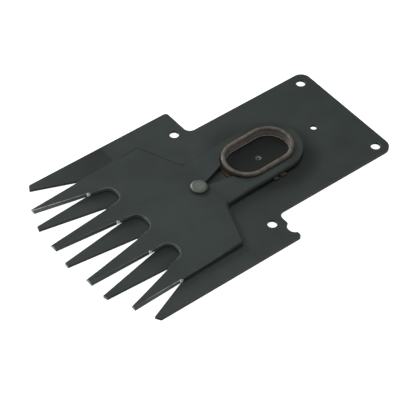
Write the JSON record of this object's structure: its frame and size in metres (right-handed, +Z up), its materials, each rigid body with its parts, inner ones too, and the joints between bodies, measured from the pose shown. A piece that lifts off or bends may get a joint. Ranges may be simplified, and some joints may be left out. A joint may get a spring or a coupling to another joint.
{
  "type": "grass shears blade",
  "caption": "Comb-toothed cutting blade pair for cordless grass shears: an upper blade with an oval drive slot swings on a rivet over a fixed lower blade.",
  "frame": {"origin": "pivot axis at the underside of the lower blade", "axes": "+Z up along the pivot, out of the rivet's head; +Y towards the fixing tang; teeth towards -Y"},
  "size_m": [0.0838, 0.1379, 0.0052],
  "materials": {
    "lower_blade_steel": "dark oxidised spring steel, satin",
    "upper_blade_steel": "dark oxidised spring steel, satin, ground tooth flanks",
    "rivet_steel": "plain steel, pressed head",
    "liner_plastic": "brown moulded plastic, matt"
  },
  "bodies": {
    "lower": {"lower_blade": "lower_blade_steel", "pivot_rivet": "rivet_steel"},
    "upper": {"upper_blade": "upper_blade_steel", "slot_liner": "liner_plastic"}
  },
  "joints": [
    {"name": "blade_pivot", "type": "hinge", "parent": "lower", "child": "upper", "pos_m": [0, 0, 0], "axis": [0, 0, 1], "range_deg": [-11, 8]}
  ]
}
